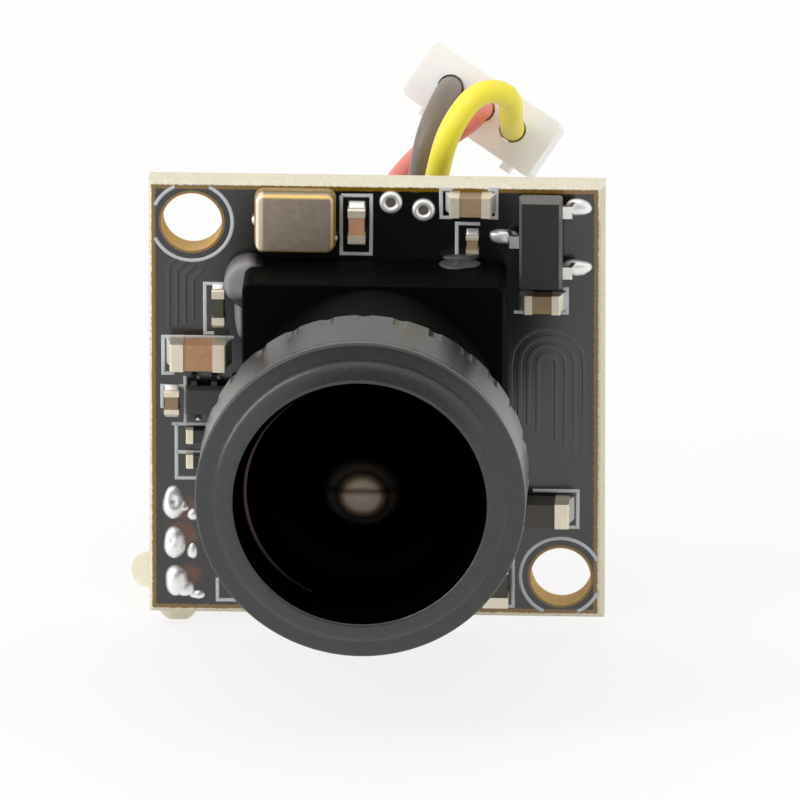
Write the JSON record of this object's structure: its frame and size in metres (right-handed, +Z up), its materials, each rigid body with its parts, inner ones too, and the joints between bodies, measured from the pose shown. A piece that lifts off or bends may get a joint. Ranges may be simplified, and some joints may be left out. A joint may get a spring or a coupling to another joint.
{
  "type": "board camera module",
  "caption": "Small square board camera with a screw-in focus lens in a moulded holder, surface-mount parts, diagonal mounting holes and a wired plug.",
  "frame": {"origin": "middle of the two mounting holes, on the back face of the circuit board", "axes": "+Y out of the board's back face, -Y along the lens's view, +X to the right of someone who looks into the lens, +Z up"},
  "size_m": [0.0159, 0.027, 0.0181],
  "materials": {
    "barrel_black": "anodised satin",
    "black_insulation": "satin",
    "chip_ceramic": "matte",
    "clear_glass": "polished",
    "crystal_ceramic": "matte",
    "ferrite_grey": "matte",
    "filter_glass": "polished",
    "grey_adhesive": "satin",
    "holder_plastic": "satin",
    "lid_metal": "satin",
    "package_black": "matte",
    "pale_glue": "translucent satin",
    "plated_end": "satin",
    "plug_nylon": "satin",
    "red_insulation": "satin",
    "resistor_black": "satin",
    "sensor_ceramic": "matte",
    "solder": "bright",
    "solder_mask": "gloss",
    "tinned_contact": "tinned",
    "tinned_lead": "bright",
    "yellow_insulation": "satin"
  },
  "bodies": {
    "board": {"bias_capacitor_body": "chip_ceramic", "bias_capacitor_terminals": "plated_end", "bulk_capacitor_body": "chip_ceramic", "bulk_capacitor_terminals": "plated_end", "circuit_board": "solder_mask", "crystal_base": "crystal_ceramic", "crystal_capacitor_body": "chip_ceramic", "crystal_capacitor_terminals": "plated_end", "crystal_lid": "lid_metal", "ferrite_bead_body": "ferrite_grey", "ferrite_bead_terminals": "plated_end", "filter_capacitor_body": "chip_ceramic", "filter_capacitor_terminals": "plated_end", "holder_adhesive": "grey_adhesive", "image_sensor": "sensor_ceramic", "ir_filter": "filter_glass", "lens_holder": "holder_plastic", "logic_chip_body": "package_black", "logic_chip_leads": "tinned_lead", "lower_resistor_body": "resistor_black", "lower_resistor_terminals": "plated_end", "memory_chip_body": "package_black", "memory_chip_leads": "tinned_lead", "output_capacitor_body": "chip_ceramic", "output_capacitor_terminals": "plated_end", "plug_housing": "plug_nylon", "plug_terminals": "tinned_contact", "rear_capacitor_bodies": "chip_ceramic", "rear_capacitor_terminals": "plated_end", "rear_regulator_body": "package_black", "rear_regulator_leads": "tinned_lead", "regulator_capacitor_body": "chip_ceramic", "regulator_capacitor_terminals": "plated_end", "sensor_capacitor_body": "chip_ceramic", "sensor_capacitor_terminals": "plated_end", "sensor_cover_glass": "clear_glass", "supply_capacitor_body": "chip_ceramic", "supply_capacitor_terminals": "plated_end", "test_points": "solder", "transistor_body": "package_black", "transistor_leads": "tinned_lead", "upper_resistor_body": "resistor_black", "upper_resistor_terminals": "plated_end", "video_capacitor_body": "chip_ceramic", "video_capacitor_terminals": "plated_end", "wire_black": "black_insulation", "wire_glue": "pale_glue", "wire_red": "red_insulation", "wire_solder_joints": "solder", "wire_yellow": "yellow_insulation"},
    "lens": {"lens_barrel": "barrel_black", "lens_front_ring": "barrel_black", "front_element": "clear_glass", "front_spacer": "barrel_black", "second_element": "clear_glass", "aperture_stop": "barrel_black", "rear_spacer": "barrel_black", "rear_element": "clear_glass"}
  },
  "joints": [
    {"name": "lens_focus", "type": "hinge", "parent": "board", "child": "lens", "pos_m": [0, -0.001, 0.0006], "axis": [0, -1, 0], "range_deg": [-180, 180]}
  ]
}
